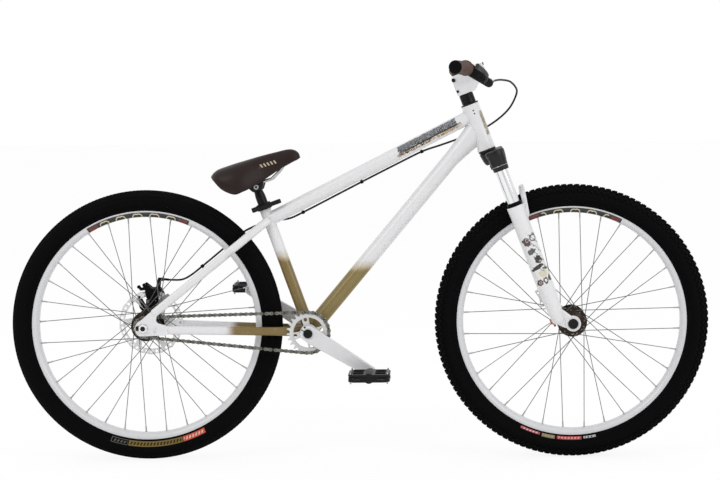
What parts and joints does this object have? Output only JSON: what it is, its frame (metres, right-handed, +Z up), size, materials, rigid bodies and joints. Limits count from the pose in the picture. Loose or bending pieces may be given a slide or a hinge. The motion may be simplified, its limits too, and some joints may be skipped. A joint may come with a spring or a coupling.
{
  "type": "dirt jump bike",
  "caption": "Dirt jump bicycle: hardtail frame, sprung fork, single-speed chain drive, rear disc brake, low saddle, straight bar, spoked wheels.",
  "frame": {"origin": "on the ground, midway between the rearmost point of the rear tyre and the foremost point of the front tyre, in the bike's middle plane", "axes": "+X forward, +Y to the rider's left, +Z up; the chain is on the -Y side"},
  "size_m": [1.7262, 0.6988, 0.9805],
  "materials": {
    "pearl_paint": "gloss pearl white fading to olive gold at the bottom bracket",
    "white_paint": "gloss white",
    "white_rim": null,
    "black_metal": "satin black",
    "tyre_rubber": "matt black rubber",
    "bronze_metal": "bronze anodised",
    "chrome": "polished chrome",
    "steel": "plain steel",
    "dark_steel": "dull grey steel",
    "grip_rubber": "matt brown rubber",
    "saddle_leather": "glossy dark brown",
    "black_plastic": "matt black",
    "red_metal": "orange-red anodised"
  },
  "bodies": {
    "frame": {"frame": "pearl_paint", "headset_lower_cup": "black_metal", "headset_upper_cup": "black_metal", "bottom_bracket_cup_right": "black_metal", "bottom_bracket_cup_left": "black_metal", "seat_clamp_collar": "black_metal", "rear_axle": "steel", "rear_axle_nut_right": "black_metal", "rear_axle_nut_left": "black_metal", "chain": "steel", "brake_caliper_bracket": "black_metal", "brake_caliper": "black_metal", "brake_cable_frame": "black_plastic"},
    "steering": {"fork_crown": "black_metal", "stanchion_right": "chrome", "stanchion_left": "chrome", "headset_spacer": "black_metal", "stem": "white_paint", "stem_top_cap": "black_metal", "handlebar": "white_paint", "grip_right": "grip_rubber", "grip_left": "grip_rubber", "bar_plug_right": "black_plastic", "bar_plug_left": "black_plastic", "brake_lever_bracket": "black_metal", "brake_cable_loop": "black_plastic"},
    "fork_slider": {"fork_lowers": "white_paint", "fork_seal_right": "black_plastic", "fork_seal_left": "black_plastic", "front_axle": "black_metal"},
    "knob": {"rebound_knob": "red_metal"},
    "front_wheel": {"front_tyre": "tyre_rubber", "front_rim": "white_rim", "front_spokes_right": "dark_steel", "front_spokes_left": "dark_steel", "front_hub": "bronze_metal"},
    "rear_wheel": {"rear_tyre": "tyre_rubber", "rear_rim": "white_rim", "rear_spokes_right": "dark_steel", "rear_spokes_left": "dark_steel", "rear_hub": "bronze_metal", "brake_disc": "steel"},
    "rear_cog": {"rear_cog": "steel"},
    "crank": {"crank_spindle": "black_metal", "chainring": "white_paint", "crank_arm_right": "white_paint", "crank_arm_left": "white_paint", "pedal_axle_right": "steel", "pedal_axle_left": "steel"},
    "pedal_right": {"pedal_right": "black_plastic"},
    "pedal_left": {"pedal_left": "black_plastic"},
    "brake_lever": {"brake_lever_blade": "black_metal"},
    "caliper_arm": {"caliper_arm": "steel"},
    "seat_lever": {"seat_clamp_lever": "black_metal"},
    "seat_post": {"seat_post": "black_metal"},
    "saddle": {"saddle_cradle": "black_metal", "saddle_rails": "steel", "saddle_base": "black_plastic", "saddle_cover": "saddle_leather"}
  },
  "joints": [
    {"name": "steering_turn", "type": "hinge", "parent": "frame", "child": "steering", "pos_m": [0.31656, 0, 0.76527], "axis": [-0.3502, 0, 0.9367], "range_deg": [-60, 60], "deforming": ["brake_cable_loop"]},
    {"name": "fork_slide", "type": "slide", "parent": "steering", "child": "fork_slider", "axis": [-0.3502, 0, 0.9367], "range_m": [0, 0.08], "stiffness_N_per_m": 8000, "springref_m": -0.02},
    {"name": "front_wheel_spin", "type": "hinge", "parent": "fork_slider", "child": "front_wheel", "pos_m": [0.5239, 0, 0.3392], "axis": [0, 1, 0], "continuous": true},
    {"name": "rear_wheel_spin", "type": "hinge", "parent": "frame", "child": "rear_wheel", "pos_m": [-0.5277, 0, 0.3354], "axis": [0, 1, 0], "continuous": true},
    {"name": "crank_turn", "type": "hinge", "parent": "frame", "child": "crank", "pos_m": [-0.1253, 0, 0.3192], "axis": [0, 1, 0], "continuous": true},
    {"name": "cog_turn", "type": "hinge", "parent": "frame", "child": "rear_cog", "pos_m": [-0.5277, 0, 0.3354], "axis": [0, 1, 0], "continuous": true},
    {"name": "pedal_right_spin", "type": "hinge", "parent": "crank", "child": "pedal_right", "pos_m": [0.02735, -0.135, 0.22381], "axis": [0, 1, 0], "continuous": true},
    {"name": "pedal_left_spin", "type": "hinge", "parent": "crank", "child": "pedal_left", "pos_m": [-0.27795, 0.135, 0.41458], "axis": [0, 1, 0], "continuous": true},
    {"name": "brake_lever_pull", "type": "hinge", "parent": "steering", "child": "brake_lever", "pos_m": [0.30847, -0.2365, 0.93338], "axis": [-0.4226, 0, -0.9063], "range_deg": [0, 16], "stiffness_Nm_per_rad": 0.6, "springref_deg": -17.19},
    {"name": "caliper_arm_pull", "type": "hinge", "parent": "frame", "child": "caliper_arm", "pos_m": [-0.5235, 0.07, 0.4109], "axis": [0, 1, 0], "range_deg": [0, 24]},
    {"name": "seat_lever_open", "type": "hinge", "parent": "frame", "child": "seat_lever", "pos_m": [-0.25731, -0.0158, 0.62009], "axis": [0.3338, 0, -0.9426], "range_deg": [0, 140]},
    {"name": "seat_post_slide", "type": "slide", "parent": "frame", "child": "seat_post", "axis": [-0.3338, 0, 0.9426], "range_m": [-0.025, 0.1]},
    {"name": "saddle_tilt", "type": "hinge", "parent": "seat_post", "child": "saddle", "pos_m": [-0.25075, 0, 0.67737], "axis": [0, 1, 0], "range_deg": [-15, 15]},
    {"name": "rebound_turn", "type": "hinge", "parent": "fork_slider", "child": "knob", "pos_m": [0.48219, 0.065, 0.32969], "axis": [-0.3502, 0, 0.9367], "range_deg": [-180, 180]}
  ],
  "couplings": [
    {"joint": "cog_turn", "follows": "crank_turn", "ratio": 2.0833},
    {"joint": "caliper_arm_pull", "follows": "brake_lever_pull", "ratio": 1.5}
  ]
}
